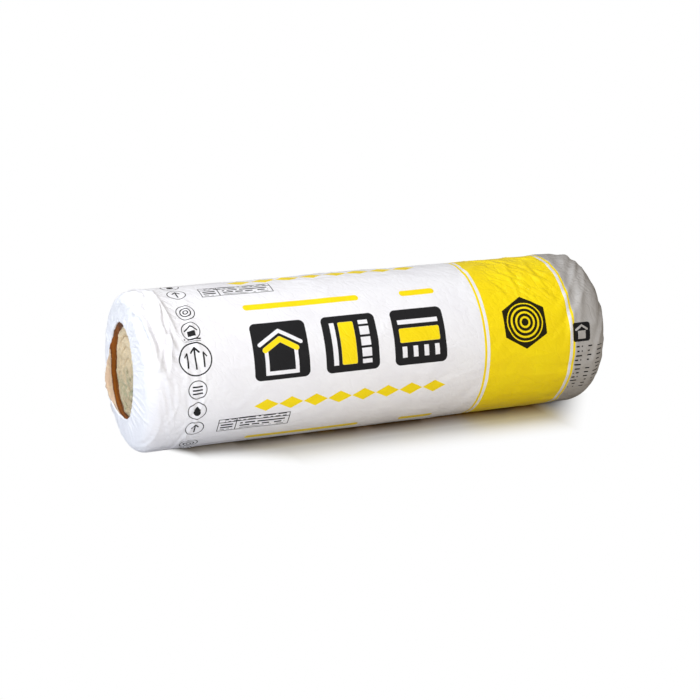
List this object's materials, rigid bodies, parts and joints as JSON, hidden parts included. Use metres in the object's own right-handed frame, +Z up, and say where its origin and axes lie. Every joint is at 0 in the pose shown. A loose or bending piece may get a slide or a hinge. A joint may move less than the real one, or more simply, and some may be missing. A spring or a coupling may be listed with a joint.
{
  "type": "insulation roll",
  "caption": "Roll of glass wool blanket lying on its side, held in a printed plastic film sleeve drawn in over both ends, where the wool's turns bulge out.",
  "frame": {"origin": "on the floor, below the middle of the roll", "axes": "+X along the roll's axis, +Z up, -Y the printed side that the picture shows"},
  "size_m": [1.2092, 0.375, 0.3749],
  "materials": {
    "film": "glossy white polyethylene film, printed",
    "wool": "matt fibrous glass wool, straw yellow with brown grooves"
  },
  "bodies": {
    "root": {"film_wrap": "film", "wool_roll": "wool"}
  },
  "joints": []
}
